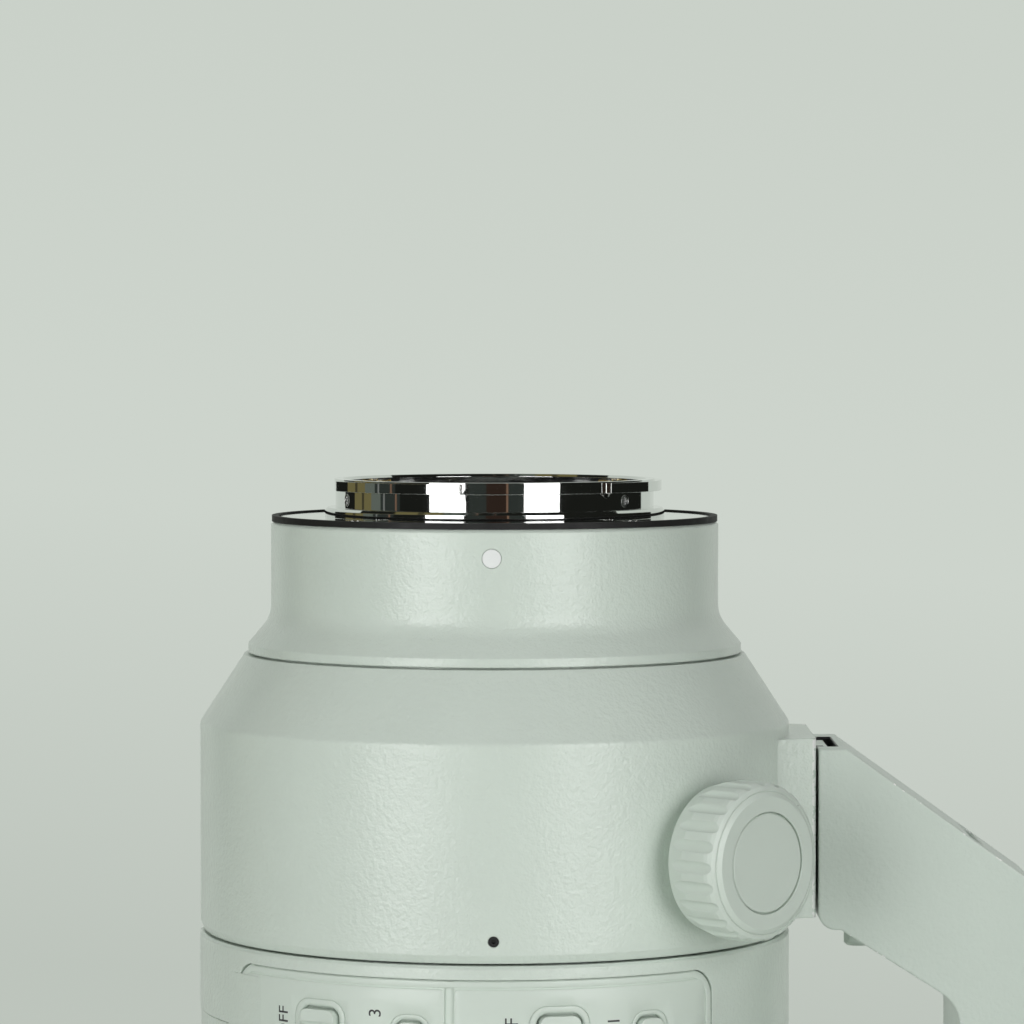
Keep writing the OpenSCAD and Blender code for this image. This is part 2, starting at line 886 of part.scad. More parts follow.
module focus_cell() {
    cell_wall = 2.2;
    ear_r = 3.2;
    rod_fit = 0.06;
    color(black)
        difference() {
            union() {
                translate([0, 0, focus_cell_z]) cylinder(r = focus_lens_r + cell_wall, h = focus_cell_h);
                for (side = [-1, 1]) {
                    translate([side * focus_rod_x, 0, focus_cell_z]) cylinder(r = ear_r, h = focus_cell_h);
                    translate([min(0, side * focus_rod_x), -ear_r / 2, focus_cell_z])
                        cube([focus_rod_x, ear_r, focus_cell_h]);
                }
            }
            translate([0, 0, focus_cell_z - eps]) cylinder(r = focus_lens_r, h = focus_cell_h + 2 * eps);
            for (side = [-1, 1])
                translate([side * focus_rod_x, 0, focus_cell_z - eps])
                    cylinder(r = focus_rod_r + rod_fit, h = focus_cell_h + 2 * eps);
        }
}

module focus_lens() {
    front_curve = -60;
    back_curve = -55;
    color(glass)
        lens_element(focus_lens_r - seat, focus_cell_z, focus_cell_z + focus_cell_h, front_curve,
            back_curve);
}

// Cutters and sizes of one switch window
module window_cut(a, w, len, drop, r0, r1) {
    radial(a, panel_top - drop - len / 2, r0)
        linear_extrude(height = r1 - r0)
            round_rect(len, w, window_corner_r);
}

// Room under the panel for the flange of one slider
module flange_room(a, w, len, drop) {
    half = (w / 2 + slider_flange + play) / panel_in * 180 / PI;
    mid = panel_top - drop - len / 2;
    sector(panel_in + seat, sleeve_in - eps, mid - len / 2 - slider_flange - play,
        mid + len / 2 + slider_flange + play, a - half, a + half);
}

// Slider at the rear end of its window, with a flange under the panel and grip ridges on top
module slider(a, w, len, drop, slider_len) {
    knob_w = w - 2 * play;
    mid = panel_top - drop - play - slider_len / 2;
    flange_half = (w / 2 + slider_flange) / panel_in * 180 / PI;
    flange_r = panel_in - slide_gap / 2;
    ridge_w = 0.5;
    ridge_depth = 0.35;
    ridge_count = 3;
    ridge_pitch = 1.3;
    union() {
        difference() {
            radial(a, mid, flange_r - slider_flange_t / 2)
                linear_extrude(height = body_r + slider_rise - flange_r + slider_flange_t / 2)
                    round_rect(slider_len, knob_w, window_corner_r - play);
            for (i = [0 : ridge_count - 1])
                radial(a, mid + (i - (ridge_count - 1) / 2) * ridge_pitch,
                    body_r + slider_rise - ridge_depth)
                    translate([-ridge_w / 2, -w / 2, 0])
                        cube([ridge_w, w, ridge_depth + eps]);
        }
        sector(flange_r, flange_r - slider_flange_t, mid - slider_len / 2 - slider_flange,
            mid + slider_len / 2 + slider_flange, a - flange_half, a + flange_half);
    }
}

// Painted barrel with the pocket of the switch panel
module switch_barrel() {
    edge = 0.4;
    color(paint)
        difference() {
            rotate_extrude()
                polygon([
                    [sleeve_in, switch_z], [body_r - edge, switch_z], [body_r, switch_z + edge],
                    [body_r, switch_top - edge], [body_r - edge, switch_top], [sleeve_in, switch_top]
                ]);
            curved_plate(body_r + eps, panel_in - seat, panel_top - panel_len, panel_top, panel_mid,
                panel_angle / 2, panel_corner_r, panel_gap);
            curved_plate(body_r + eps, top_plate_r - top_plate_t - seat, plate_top_z - top_plate_len,
                plate_top_z, top_plate_angle, top_plate_half, top_plate_corner_r, panel_gap);
            flange_room(focus_mode_angle, wide_window, wide_len, wide_drop);
            flange_room(focus_limit_angle, narrow_window, narrow_len, narrow_drop);
            flange_room(stabiliser_angle, wide_window, wide_len, wide_drop);
            flange_room(stabiliser_mode_angle, narrow_window, narrow_len, narrow_drop);
        }
}

// Recessed panel with the four switch windows and a dividing groove
module switch_panel() {
    divider_offset = -2.2;
    divider_w = 1.3;
    divider_depth = 0.3;
    color(paint)
        difference() {
            curved_plate(panel_out, panel_in, panel_top - panel_len, panel_top, panel_mid,
                panel_angle / 2, panel_corner_r, 0);
            window_cut(focus_mode_angle, wide_window, wide_len, wide_drop, panel_in - eps, body_r);
            window_cut(focus_limit_angle, narrow_window, narrow_len, narrow_drop, panel_in - eps, body_r);
            window_cut(stabiliser_angle, wide_window, wide_len, wide_drop, panel_in - eps, body_r);
            window_cut(stabiliser_mode_angle, narrow_window, narrow_len, narrow_drop, panel_in - eps,
                body_r);
            radial(panel_mid + divider_offset, panel_top - panel_len / 2, panel_out - divider_depth)
                translate([-panel_len / 2 - eps, -divider_w / 2, 0])
                    cube([panel_len + 2 * eps, divider_w, divider_depth + eps]);
        }
}

module focus_mode_switch() {
    color(paint) slider(focus_mode_angle, wide_window, wide_len, wide_drop, wide_slider);
}

module focus_limit_switch() {
    color(paint) slider(focus_limit_angle, narrow_window, narrow_len, narrow_drop, narrow_slider);
}

module stabiliser_switch() {
    color(paint) slider(stabiliser_angle, wide_window, wide_len, wide_drop, wide_slider);
}

module stabiliser_mode_switch() {
    color(paint) slider(stabiliser_mode_angle, narrow_window, narrow_len, narrow_drop, narrow_slider);
}

// Flush plate on the top side of the switch barrel
module top_plate() {
    color(paint)
        curved_plate(top_plate_r, top_plate_r - top_plate_t, plate_top_z - top_plate_len, plate_top_z,
            top_plate_angle, top_plate_half, top_plate_corner_r, 0);
}

// Tripod collar: turning ring with its cone, the foot stub with its rail, and the knob boss
module collar_ring() {
    bevel_h = 1.2;
    bevel_r = 0.6;
    cone_wall_z = 2.5;
    cone_start = 11;
    boss_r = 6;
    corner_r = 1.2;
    cone_slope = atan((collar_r - cone_top_r) / cone_len);
    corner_z = collar_top - cone_len - corner_r * tan(cone_slope / 2);
    boss_start = collar_bore + shoe_t + lock_pitch + slide_gap + eps;
    color(paint)
        difference() {
            union() {
                rotate_extrude()
                    polygon(concat(
                        [
                            [collar_bore, collar_z], [collar_r - bevel_r, collar_z],
                            [collar_r, collar_z + bevel_h]
                        ],
                        arc(collar_r - corner_r, corner_z, corner_r, 0, cone_slope, 6),
                        [
                            [cone_top_r, collar_top], [cone_in, collar_top],
                            [cone_in, collar_top - cone_wall_z], [collar_bore, collar_top - cone_start]
                        ]
                    ));
                foot_stub();
                foot_rail();
                radial(knob_angle, knob_z, boss_start)
                    cylinder(r = boss_r, h = knob_base - slide_gap - boss_start);
            }
            radial(knob_angle, knob_z, collar_bore - 2 * eps)
                translate([-shoe_h / 2 - play, -shoe_w / 2 - play, 0])
                    cube([shoe_h + 2 * play, shoe_w + 2 * play, shoe_t + lock_pitch + slide_gap + 2 * eps]);
            radial(knob_angle, knob_z, collar_bore)
                cylinder(r = lock_screw_r + slide_gap, h = knob_base - collar_bore);
            radial(index_angle, index_screw_z, collar_bore - eps)
                cylinder(r = index_screw_r + seat, h = collar_r - collar_bore + 2 * eps);
        }
}

// Stub that carries the foot: wider where it leaves the ring, with a broken edge at the foot
module foot_stub() {
    root_depth = 1;
    root_sink = 0.15;
    edge = 0.5;
    root_r = collar_r - root_depth;
    root_x = sqrt(pow(collar_r - root_sink, 2) - pow(stub_root_half, 2));
    translate([0, 0, stub_bottom])
        linear_extrude(height = stub_top - stub_bottom)
            difference() {
                polygon([
                    [0, 0], [root_x, -stub_root_half],
                    [stub_x - edge, -stub_half_w], [stub_x, edge - stub_half_w],
                    [stub_x, stub_half_w - edge], [stub_x - edge, stub_half_w],
                    [root_x, stub_root_half]
                ]);
                circle(r = root_r);
            }
}

// Rail with a narrow neck and a wide head, which the foot slides on
module foot_rail() {
    translate([stub_x - eps, -rail_neck_half, rail_z0])
        cube([rail_neck_x - stub_x + 2 * eps, 2 * rail_neck_half, foot_top - rail_gap - rail_z0]);
    translate([rail_neck_x, -rail_head_half, rail_z0])
        cube([rail_head_x - rail_neck_x, 2 * rail_head_half, rail_z1 - rail_z0]);
}

// Black set screw that marks the collar's upright position
module collar_index_screw() {
    screw_inset = 0.3;
    screw_len = 2.4;
    socket_r = 0.4;
    socket_depth = 0.6;
    color(black)
        difference() {
            radial(index_angle, index_screw_z, collar_r - screw_inset - screw_len)
                cylinder(r = index_screw_r, h = screw_len);
            radial(index_angle, index_screw_z, collar_r - screw_inset - socket_depth)
                cylinder(r = socket_r, h = socket_depth + eps, $fn = 6);
        }
}

// Shoe that the lock screw presses towards the fixed barrel
module clamp_shoe() {
    color(brass)
        difference() {
            radial(knob_angle, knob_z, shoe_r - eps)
                translate([-shoe_h / 2, -shoe_w / 2, 0])
                    cube([shoe_h, shoe_w, shoe_t + eps]);
            cylinder(r = shoe_r, h = lens_len, $fn = lens_facets);
        }
}

// Screw of the lock knob
module clamp_screw() {
    screw_start = shoe_r + shoe_t + seat;
    color(steel)
        radial(knob_angle, knob_z, screw_start)
            cylinder(r = lock_screw_r, h = knob_base + knob_h / 2 - screw_start);
}

// Lock knob with flutes round its side and a rounded shoulder up to its face
module lock_knob() {
    flute_count = 24;
    flute_r = 1;
    flute_depth = 0.55;
    taper_h = 3.2;
    taper_r = 0.8;
    // Shoulder with a fine line in it: distance inside the knob's radius and below its face
    shoulder = [[0, 1.85], [0.15, 1.25], [0.55, 0.75], [1.15, 0.45], [1.25, 0.6], [1.35, 0.4], [2, 0]];
    bore_r = lock_screw_r + seat;
    bore_top = knob_base + knob_h / 2 + seat;
    color(paint)
        radial(knob_angle, knob_z)
            difference() {
                rotate_extrude()
                    polygon(concat(
                        [
                            [0, bore_top], [bore_r, bore_top], [bore_r, knob_base],
                            [knob_r - taper_r, knob_base], [knob_r, knob_base + taper_h]
                        ],
                        [for (p = shoulder) [knob_r - p[0], knob_face - p[1]]],
                        [
                            [cap_r, knob_face], [cap_r, knob_face - cap_depth],
                            [0, knob_face - cap_depth]
                        ]
                    ));
                for (i = [0 : flute_count - 1])
                    rotate([0, 0, i * 360 / flute_count])
                        translate([knob_r - flute_depth + flute_r, 0, knob_base - eps])
                            cylinder(r = flute_r, h = knob_h + 2 * eps);
            }
}

// Inset disc on the face of the knob
module knob_cap() {
    cap_t = cap_depth - seat;
    cap_edge = 0.2;
    cap_gap = 0.18;
    disc_r = cap_r - cap_gap;
    color(paint)
        radial(knob_angle, knob_z, knob_face - cap_depth)
            rotate_extrude()
                polygon([
                    [0, 0], [disc_r, 0], [disc_r, cap_t - cap_edge], [disc_r - cap_edge, cap_t], [0, cap_t]
                ]);
}

// Points of an arc about a centre, from one angle to another
function arc(cx, cy, r, a0, a1, steps) =
    [for (i = [0 : steps]) let (a = a0 + (a1 - a0) * i / steps) [cx + r * cos(a), cy + r * sin(a)]];

// Side outline of the foot: joint block, sloping arm and base plate
arm_x0 = foot_x + block_flat;
slope_end_z = foot_top - (foot_drop - arm_x0) * tan(foot_slope);
arm_low_x = foot_x + block_bottom_flat;
arm_meet_z = foot_bottom - (plate_x - arm_low_x) * tan(arm_slope);
arm_blend = arm_fillet_r * tan((90 - arm_slope) / 2);

foot_outline = concat(
    arc(foot_x + foot_corner_r, foot_bottom + foot_corner_r, foot_corner_r, -90, -180, 6),
    [[foot_x, foot_top], [arm_x0, foot_top]],
    arc(foot_drop - plate_corner_r, slope_end_z - plate_corner_r * tan(foot_slope / 2 + 10), plate_corner_r,
        90 - foot_slope, 0, 6),
    arc(foot_drop - plate_corner_r, plate_bottom + plate_corner_r, plate_corner_r, 0, -90, 6),
    arc(plate_x + plate_corner_r, plate_bottom + plate_corner_r, plate_corner_r, -90, -180, 6),
    arc(plate_x - arm_fillet_r, arm_meet_z - arm_blend, arm_fillet_r, 0, 90 - arm_slope, 6),
    [[arm_low_x, foot_bottom]]
);
tripod_rise = 34;
tripod_z = plate_bottom + tripod_rise;
insert_wall = 1.2;
insert_r = tripod_r + insert_wall;
insert_len = 9;

// Detachable foot
module tripod_foot() {
    strap_l = 16;
    strap_w = 2.6;
    strap_depth = 2;
    strap_along = 24.5;
    color(paint)
        difference() {
            rotate([90, 0, 0])
                linear_extrude(height = foot_w, center = true)
                    polygon(foot_outline);
            translate([foot_x - eps, -rail_neck_half - rail_gap, slot_bottom])
                cube([rail_neck_x - foot_x + 2 * eps, 2 * (rail_neck_half + rail_gap),
                    foot_top - slot_bottom + eps]);
            translate([rail_neck_x - rail_gap, -rail_head_half - rail_gap, slot_bottom])
                cube([rail_head_x - rail_neck_x + 2 * rail_gap, 2 * (rail_head_half + rail_gap),
                    foot_top - slot_bottom + eps]);
            translate([arm_x0, 0, foot_top])
                rotate([0, foot_slope, 0])
                    translate([strap_along, 0, -strap_depth])
                        linear_extrude(height = strap_depth + eps)
                            rotate([0, 0, 90])
                                slot_2d(strap_l, strap_w);
            translate([foot_drop - insert_len - seat, 0, tripod_z])
                rotate([0, 90, 0])
                    cylinder(r = insert_r + seat, h = insert_len + eps);
            translate([release_x, 0, plate_bottom])
                cylinder(r = release_r + rail_gap, h = release_room - plate_bottom);
        }
}

// Steel insert with the tripod thread
module thread_insert() {
    color(steel)
        translate([foot_drop - insert_len, 0, tripod_z])
            rotate([0, 90, 0])
                difference() {
                    cylinder(r = insert_r, h = insert_len);
                    translate([0, 0, -eps]) cylinder(r = tripod_r, h = insert_len + 2 * eps);
                }
}

// Button under the foot that frees it from the rail
module foot_release_button() {
    button_drop = 3.9;
    button_low = foot_bottom - button_drop;
    button_high = release_room - release_travel - rail_gap;
    button_edge = 0.4;
    color(paint)
        translate([release_x, 0, 0])
            rotate_extrude()
                polygon([
                    [0, button_low], [release_r - button_edge, button_low],
                    [release_r, button_low + button_edge],
                    [release_r, button_high], [0, button_high]
                ]);
}

// Core of a turning ring with a lip at each end that holds the rubber
module ring_core(lip_r, core_r, z0, z1, front_land, rear_land) {
    core_wall = 1.2;
    color(black)
        rotate_extrude()
            polygon([
                [ring_in, z0], [lip_r, z0], [lip_r, z0 + grip_edge], [core_r, z0 + grip_edge],
                [core_r, z1 - grip_edge], [lip_r, z1 - grip_edge], [lip_r, z1], [ring_in, z1],
                [ring_in, z1 - rear_land], [core_r - core_wall, z1 - rear_land],
                [core_r - core_wall, z0 + front_land], [ring_in, z0 + front_land]
            ]);
}

// Length over which the turning rings run on the fixed barrel at each end
bearing_len = 3;

// Focus ring, with its lips flush with the band in front of it
module focus_ring() {
    ring_core(band_r, focus_r - grip_t, focus_z, focus_z + focus_len, bearing_len, bearing_len);
}

module focus_grip() {
    color(rubber)
        grooved_ring(focus_r, focus_r - grip_t + seat, focus_z + grip_edge, focus_z + focus_len - grip_edge,
            focus_grooves, groove_w, groove_depth, grip_edge);
}

// Band with three holes for the hold buttons
button_angles = [180, -90, 90];
button_mid = band_z + band_len / 2;

module button_band() {
    edge = 0.4;
    color(paint)
        difference() {
            rotate_extrude()
                polygon([
                    [sleeve_in, band_z], [band_r - edge, band_z], [band_r, band_z + edge],
                    [band_r, band_z + band_len - edge], [band_r - edge, band_z + band_len],
                    [sleeve_in, band_z + band_len]
                ]);
            for (a = button_angles)
                radial(a, button_mid, sleeve_in - eps)
                    cylinder(r = button_r + ring_gap, h = band_r - sleeve_in + 2 * eps);
        }
}

// Sprung button with a dished face
module hold_button(a) {
    button_in = sleeve_in + button_travel + slide_gap;
    button_rise = 0.4;
    dish_r = 14;
    dish_depth = 0.35;
    color(paint)
        difference() {
            radial(a, button_mid, button_in)
                cylinder(r = button_r, h = band_r + button_rise - button_in);
            radial(a, button_mid, band_r + button_rise + dish_r - dish_depth) sphere(r = dish_r);
        }
}

module hold_button_top() {
    hold_button(button_angles[0]);
}

module hold_button_near() {
    hold_button(button_angles[1]);
}

module hold_button_far() {
    hold_button(button_angles[2]);
}

// Zoom ring, with a pocket for the drive key
module zoom_ring() {
    lip_drop = 0.6;
    pocket_fit = 0.1;
    difference() {
        ring_core(zoom_r - lip_drop, zoom_r - grip_t, zoom_z, zoom_z + zoom_len,
            key_rise + key_h / 2 + bearing_len, bearing_len);
        translate([ring_in - eps, -key_w / 2 - pocket_fit, key_z - key_h / 2 - pocket_fit])
            cube([key_out - ring_in + eps + pocket_fit, key_w + 2 * pocket_fit, key_h + 2 * pocket_fit]);
    }
}

module zoom_grip() {
    color(rubber)
        grooved_ring(zoom_r, zoom_r - grip_t + seat, zoom_z + grip_edge, zoom_z + zoom_len - grip_edge,
            zoom_grooves, groove_w, groove_depth, grip_edge);
}

// Key that carries the zoom ring's turn through the fixed barrel to the cam tube
module drive_key() {
    color(steel)
        translate([key_in, -key_w / 2, key_z - key_h / 2])
            cube([key_out - key_in - seat, key_w, key_h]);
}

// Cam tube with helical slots for the front group and for the variator
module cam_tube() {
    key_fit = 0.1;
    color(steel)
        difference() {
            ring(cam_r, cam_in, zoom_z, cam_top);
            for (a = follower_angles) {
                cam_slot(a, follower_z, follower_z - front_travel);
                cam_slot(a, variator_follow, variator_follow + variator_travel);
            }
            translate([cam_in - 2 * slide_gap, -key_w / 2 - key_fit, key_z - key_h / 2 - key_fit])
                cube([cam_wall + 4 * slide_gap, key_w + 2 * key_fit, key_h + 2 * key_fit]);
        }
}

// Ring that sets how hard the zoom turns
module torque_ring() {
    notch_count = 48;
    notch_w = 1.2;
    notch_depth = 0.4;
    notch_margin = 1.6;
    color(paint)
        grooved_ring(torque_r, ring_in, torque_z, torque_z + torque_len, notch_count, notch_w, notch_depth,
            notch_margin);
}

// Bezel that closes the fixed barrel around the extending tube
module front_bezel() {
    edge = 0.5;
    color(paint)
        rotate_extrude()
            polygon([
                [cam_in, bezel_z], [bezel_r - edge, bezel_z], [bezel_r, bezel_z + edge],
                [bezel_r, bezel_top],
                [cam_in, bezel_top]
            ]);
}

// Front head: filter thread inside, hood seat and bayonet groove outside
module filter_ring() {
    edge = 0.6;
    land_len = 7;
    groove_h = 2;
    groove_in = 0.9;
    hood_notch_w = 9;
    hood_notches = 3;
    notch_z = 4.4;
    color(black)
        difference() {
            rotate_extrude()
                polygon([
                    [filter_r, 0], [head_r - edge, 0], [head_r, edge], [head_r, land_len],
                    [head_r - groove_in, land_len], [head_r - groove_in, land_len + groove_h],
                    [head_r, land_len + groove_h], [head_r, head_len], [tube_r + seat, head_len],
                    [tube_r + seat, filter_len], [filter_r, filter_len]
                ]);
            for (i = [0 : hood_notches - 1])
                rotate([0, 0, (i + 0.5) * 360 / hood_notches])
                    translate([head_r - groove_in, -hood_notch_w / 2, notch_z])
                        cube([groove_in + eps, hood_notch_w, land_len + groove_h / 2 - notch_z]);
        }
}

// Extending tube that carries the front lens group
module front_tube() {
    color(black)
        difference() {
            ring(tube_r, tube_in, filter_len, tube_end);
            for (a = follower_angles)
                radial(a, follower_z, tube_in - eps)
                    cylinder(r = follower_pin_r + seat, h = tube_wall + 2 * eps);
        }
}

// Rollers at the rear end of the extending tube
module tube_followers() {
    color(brass) followers(follower_z, tube_in, tube_r + slide_gap / 2);
}

// Cell and lenses of the front group
front_cell_r = tube_in - seat;
front_cell_inset = 3;
front_cell_z = filter_len + front_cell_inset;
front_cell_len = 23;
front_cell_wall = 1.2;
front_lens_r = front_cell_r - front_cell_wall;
front_lens_t = 12;
second_lens_t = 8;
lens_air = 0.4;

module retaining_ring() {
    ring_t = 2.4;
    ring_land = 2;
    ring_mouth = 0.9;
    color(black)
        rotate_extrude()
            polygon([
                [front_lens_r - ring_land, front_cell_z], [front_lens_r - ring_mouth, front_cell_z - ring_t],
                [front_cell_r, front_cell_z - ring_t], [front_cell_r, front_cell_z]
            ]);
}

module front_cell() {
    rim_t = 1.2;
    rim_w = 2;
    cell_in = front_lens_r + seat;
    cell_end = front_cell_z + front_cell_len;
    color(black)
        rotate_extrude()
            polygon([
                [cell_in, front_cell_z], [front_cell_r, front_cell_z], [front_cell_r, cell_end],
                [cell_in - rim_w, cell_end], [cell_in - rim_w, cell_end - rim_t], [cell_in, cell_end - rim_t]
            ]);
}

module front_lens() {
    front_curve = 110;
    back_curve = 150;
    color(glass)
        lens_element(front_lens_r, front_cell_z, front_cell_z + front_lens_t, front_curve, back_curve);
}

module second_lens() {
    lens_z = front_cell_z + front_lens_t + lens_air;
    front_curve = -150;
    back_curve = 130;
    color(glass)
        lens_element(front_lens_r, lens_z, lens_z + second_lens_t, front_curve, back_curve);
}

// Variator cell with its rollers
module variator_cell() {
    pin_root = 1;
    color(black)
        union() {
            ring(variator_r, variator_lens_r + seat, variator_z, variator_z + variator_len);
            followers(variator_follow, variator_r - pin_root, cam_in - slide_gap / 2);
        }
}

// Hollow lens in the variator cell
module variator_lens() {
    front_curve = -100;
    back_curve = -120;
    color(glass)
        lens_element(variator_lens_r, variator_z, variator_z + variator_len, front_curve, back_curve);
}

mount_bayonet();
mount_gasket();
mount_screws();
neck_screws();
rear_baffle();
contact_block();
contact_pins();
rear_barrel();
mount_index_dot();
main_pcb();
rear_cell();
rear_lens();
barrel_screws();
fixed_barrel();
rear_chassis();
iris_housing();
stabiliser_frame();
stabiliser_stage();
stabiliser_lens();
focus_rods();
focus_motor();
focus_cell();
focus_lens();
switch_barrel();
switch_panel();
focus_mode_switch();
focus_limit_switch();
stabiliser_switch();
stabiliser_mode_switch();
top_plate();
collar_ring();
collar_index_screw();
clamp_shoe();
clamp_screw();
lock_knob();
knob_cap();
tripod_foot();
thread_insert();
foot_release_button();
focus_ring();
focus_grip();
button_band();
hold_button_top();
hold_button_near();
hold_button_far();
zoom_ring();
zoom_grip();
drive_key();
cam_tube();
torque_ring();
front_bezel();
filter_ring();
front_tube();
tube_followers();
retaining_ring();
front_cell();
front_lens();
second_lens();
variator_cell();
variator_lens();
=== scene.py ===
import json
import math
from collections import namedtuple

import bmesh
import bpy
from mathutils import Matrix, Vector, geometry


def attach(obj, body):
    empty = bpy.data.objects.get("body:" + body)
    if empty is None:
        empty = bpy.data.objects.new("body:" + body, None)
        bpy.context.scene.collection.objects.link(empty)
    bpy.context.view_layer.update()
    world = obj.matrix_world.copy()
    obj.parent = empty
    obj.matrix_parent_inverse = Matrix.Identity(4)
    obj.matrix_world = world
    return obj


MM = 0.001

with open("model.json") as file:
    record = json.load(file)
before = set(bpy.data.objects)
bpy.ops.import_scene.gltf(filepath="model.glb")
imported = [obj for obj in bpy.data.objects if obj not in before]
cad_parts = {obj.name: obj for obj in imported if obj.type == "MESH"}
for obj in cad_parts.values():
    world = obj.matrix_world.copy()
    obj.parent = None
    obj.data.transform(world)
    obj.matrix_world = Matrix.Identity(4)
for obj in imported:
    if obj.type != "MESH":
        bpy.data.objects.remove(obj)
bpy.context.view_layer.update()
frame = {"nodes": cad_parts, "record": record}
nodes = frame["nodes"]


# Materials

MOST = (0.3, 0.7)           # where most values of a noise lie
BLOTCH_SIZE = 22.0          # sizes of the lacquer's noises, in millimetres
SHEEN_SIZE = 3.0
CHIP_SIZE = 0.8
PEEL_SIZE = 0.80
FINE_SIZE = 0.32
EDGE_BEND = (0.97, 0.90)    # how far a rounded normal leans where an edge starts and ends to wear
CHIP_FADE = 0.03
# Painted shade: black for the inside of a slot, where shade falls
PAINTED_SLOT_SHADE = (0.012, 0.012, 0.012)


def rgb(r, g, b):
    return (r, g, b, 1.0)


def times(colour, share):
    return rgb(*[c * share for c in colour])


class Nodes:
    """Short ways to add nodes to one node tree."""

    def __init__(self, tree):
        self.tree = tree

    def join(self, value, socket):
        """Links an output to a socket, or sets the socket to a plain value."""
        if isinstance(value, bpy.types.NodeSocket):
            self.tree.links.new(value, socket)
        else:
            socket.default_value = value

    def node(self, kind, inputs, out=0, **settings):
        made = self.tree.nodes.new(kind)
        for key, value in settings.items():
            setattr(made, key, value)
        for key, value in inputs.items():
            self.join(value, made.inputs[key])
        return made.outputs[out]

    def maths(self, operation, a, b=0.0, c=0.0):
        return self.node("ShaderNodeMath", {0: a, 1: b, 2: c}, operation=operation)

    def span(self, value, low, high, start=0.0, end=1.0):
        """Value, moved from low..high to start..end and held there."""
        return self.node("ShaderNodeMapRange", {
            "Value": value, "From Min": low, "From Max": high, "To Min": start, "To Max": end})

    def tint(self, share, a, b):
        return self.node("ShaderNodeMix", {0: share, 6: a, 7: b}, out=2, data_type="RGBA")

    def split(self, vector):
        return self.node("ShaderNodeSeparateXYZ", {0: vector}).node.outputs

    def rays(self):
        """Outputs that tell which kind of ray arrives."""
        return self.tree.nodes.new("ShaderNodeLightPath").outputs


class Shader(Nodes):
    """A procedural material being made, with its Principled shader."""

    def __init__(self, name, **values):
        self.material = bpy.data.materials.new(name)
        self.material.use_nodes = True
        super().__init__(self.material.node_tree)
        self.main = self.tree.nodes["Principled BSDF"]
        self.place = self.node("ShaderNodeTexCoord", {}, out="Object")
        for socket, value in values.items():
            self.feed(socket.replace("_", " "), value)

    def feed(self, socket, value):
        self.join(value, self.main.inputs[socket])

    def noise(self, size, detail=2.0, at=None):
        """Noise of about that size in millimetres, from 0 to 1."""
        where = at or self.place
        return self.node("ShaderNodeTexNoise", {"Vector": where, "Scale": 1 / (size * MM), "Detail": detail})

    def stretched(self, x, y, z):
        """The place, scaled on each axis, for grain that runs along one of them."""
        return self.node("ShaderNodeVectorMath", {0: self.place, 1: (x, y, z)}, operation="MULTIPLY")

    def rounded(self, radius):
        """Normal of the surface with its edges broken by that radius in millimetres."""
        return self.node("ShaderNodeBevel", {"Radius": radius * MM}, samples=8)

    def bump(self, height, depth, normal=None):
        """Relief of that depth in millimetres on the shader."""
        inputs = {"Height": height, "Distance": depth * MM, "Strength": 1.0}
        if normal:
            inputs["Normal"] = normal
        made = self.node("ShaderNodeBump", inputs)
        self.feed("Normal", made)
        return made


def paint(name, colour, peel, fine, roughness, coat, edge, wear, bare=(0.06, 0.06, 0.055),
          rubbed=None, shaded_slot=None):
    """Off-white lacquer: orange peel in two sizes, faint blotches, and edges worn to the bare material.

    Peel and fine are the depths of the two reliefs and edge the radius of the edges, in millimetres. Wear
    is the noise level above which the lacquer is chipped. Rubbed gives the X and the distance from the
    middle in Y beyond which an end is worn, in place of all edges. Where a slot is given, its X and half
    width in Y mark a slot whose inside is painted black, as painted shade. Both are in metres.
    """
    s = Shader(name, Coat_Weight=coat, Coat_Roughness=0.16)
    x, y = s.split(s.place)[:2]
    aside = s.maths("ABSOLUTE", y)
    shade = s.tint(s.span(s.noise(BLOTCH_SIZE, 3.0), *MOST), times(colour, 0.975), times(colour, 1.015))
    rounded = s.rounded(edge)
    if rubbed:
        outer_x, outer_y = rubbed
        worn = s.maths("MULTIPLY", s.maths("GREATER_THAN", x, outer_x), s.maths("GREATER_THAN", aside, outer_y))
    else:
        straight = s.node("ShaderNodeNewGeometry", {}, out="Normal")
        bend = s.node("ShaderNodeVectorMath", {0: rounded, 1: straight}, out="Value", operation="DOT_PRODUCT")
        worn = s.span(bend, *EDGE_BEND)
    chips = s.maths("MULTIPLY", worn, s.span(s.noise(CHIP_SIZE, 4.0), wear, wear + CHIP_FADE))
    shade = s.tint(chips, shade, rgb(*bare))
    # Painted shade: the inside of the slot is painted black
    if shaded_slot:
        slot_x, slot_half = shaded_slot
        slot = s.maths("MULTIPLY", s.maths("LESS_THAN", x, slot_x), s.maths("LESS_THAN", aside, slot_half))
        shade = s.tint(slot, shade, rgb(*PAINTED_SLOT_SHADE))
    s.feed("Base Color", shade)
    s.feed("Roughness", s.span(s.noise(SHEEN_SIZE, 3.0), *MOST, roughness - 0.04, roughness + 0.05))
    low = s.maths("MULTIPLY", s.noise(FINE_SIZE, 1.0), fine)
    relief = s.maths("MULTIPLY_ADD", s.noise(PEEL_SIZE, 1.0), peel, low)
    s.feed("Coat Normal", s.bump(relief, 1.0, rounded))
    return s.material


def metal(name, colour, roughness, depth, lathe):
    """Metal with fine turning marks round the axis, or a fine cast grain where lathe is false."""
    s = Shader(name, Metallic=1.0)
    if lathe:
        grain = s.noise(0.35, 3.0, s.stretched(0.02, 0.02, 1.0))
    else:
        grain = s.noise(0.25, 3.0)
    smudge = s.span(s.noise(7.0, 4.0), 0.35, 0.65)
    s.feed("Base Color", s.tint(smudge, times(colour, 0.94), rgb(*colour)))
    s.feed("Roughness", s.span(s.noise(4.0, 5.0), 0.35, 0.7, roughness, roughness * 1.8))
    s.bump(grain, depth, s.rounded(0.1))
    return s.material


